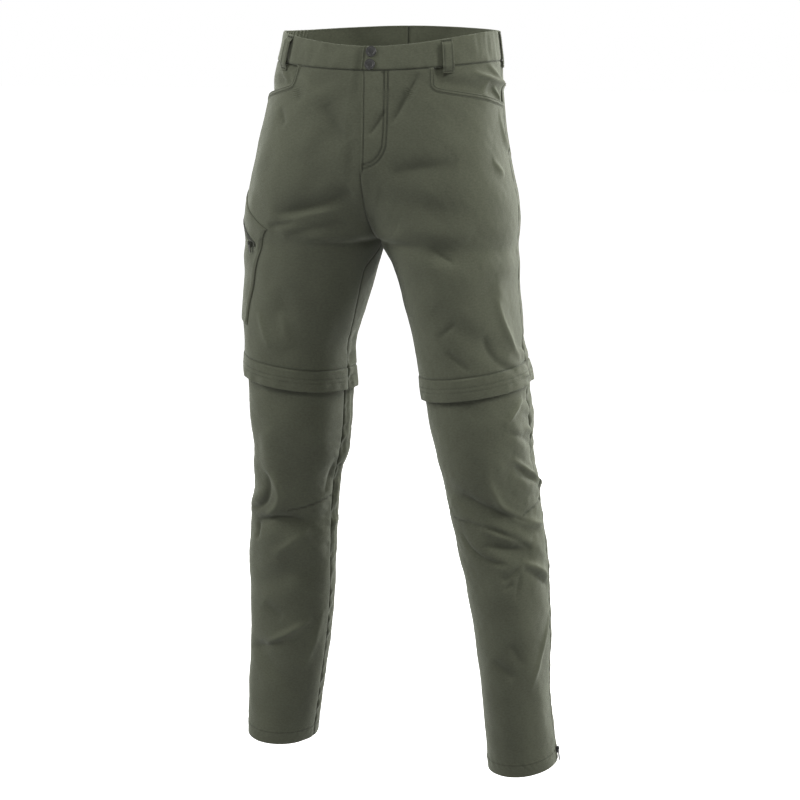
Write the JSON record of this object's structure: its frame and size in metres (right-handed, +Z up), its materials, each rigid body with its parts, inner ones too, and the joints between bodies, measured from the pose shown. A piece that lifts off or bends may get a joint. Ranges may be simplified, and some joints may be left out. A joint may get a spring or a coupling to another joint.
{
  "type": "convertible zip-off trousers",
  "caption": "Worn, hollow hiking trousers with belt loops, snap waist, fly, front and thigh pockets, flapped knee zips and open hems.",
  "frame": {"origin": "middle of the waist opening, level with the top of the waistband at the side seams, where the wearer's waist holds it", "axes": "+Z up, the front faces -Y, the wearer's left is +X"},
  "size_m": [0.4873, 0.2585, 1.0632],
  "materials": {
    "olive_cloth": "matt woven cloth with a slight sheen",
    "waistband_cloth": "matt woven cloth",
    "pocket_cloth": "matt woven cloth",
    "zip_tape": "ribbed zip tape",
    "zip_metal": "satin dark",
    "snap_metal": "satin dark"
  },
  "bodies": {
    "trousers": {"ankle_left_slider": "zip_metal", "ankle_right_slider": "zip_metal", "ankle_zip_left": "zip_tape", "ankle_zip_right": "zip_tape", "back_left": "olive_cloth", "back_right": "olive_cloth", "belt_loop_back": "olive_cloth", "belt_loop_front_left": "olive_cloth", "belt_loop_front_right": "olive_cloth", "belt_loop_side_left": "olive_cloth", "belt_loop_side_right": "olive_cloth", "fly_zip": "zip_tape", "front_left": "olive_cloth", "front_right": "olive_cloth", "knee_flap_left": "olive_cloth", "knee_flap_right": "olive_cloth", "knee_zip_left": "zip_tape", "knee_zip_right": "zip_tape", "lower_back_left": "olive_cloth", "lower_back_right": "olive_cloth", "lower_front_left": "olive_cloth", "lower_front_right": "olive_cloth", "pocket_edge_left": "olive_cloth", "pocket_edge_right": "olive_cloth", "pocket_facing_left": "pocket_cloth", "pocket_facing_right": "pocket_cloth", "snap_lower": "snap_metal", "snap_upper": "snap_metal", "thigh_pocket": "olive_cloth", "thigh_pocket_slider": "zip_metal", "thigh_pocket_zip": "zip_tape", "waistband_back_left": "waistband_cloth", "waistband_back_right": "waistband_cloth", "waistband_front_left": "waistband_cloth", "waistband_front_right": "waistband_cloth"},
    "thigh_pocket_pull_body": {"thigh_pocket_pull": "zip_metal"},
    "ankle_left_pull_body": {"ankle_left_pull": "zip_metal"},
    "ankle_right_pull_body": {"ankle_right_pull": "zip_metal"}
  },
  "joints": [
    {"name": "thigh_pull_swing", "type": "hinge", "parent": "trousers", "child": "thigh_pocket_pull_body", "pos_m": [-0.18817, -0.07174, -0.29098], "axis": [-0.6625, 0.7455, -0.0733], "range_deg": [0, 120]},
    {"name": "ankle_pull_left_swing", "type": "hinge", "parent": "trousers", "child": "ankle_left_pull_body", "pos_m": [0.25798, -0.02584, -1.02354], "axis": [-0.0009, -1, 0.0077], "range_deg": [0, 120]},
    {"name": "ankle_pull_right_swing", "type": "hinge", "parent": "trousers", "child": "ankle_right_pull_body", "pos_m": [-0.22504, 0.01218, -1.02847], "axis": [0.2085, 0.9773, -0.0373], "range_deg": [0, 120]}
  ]
}
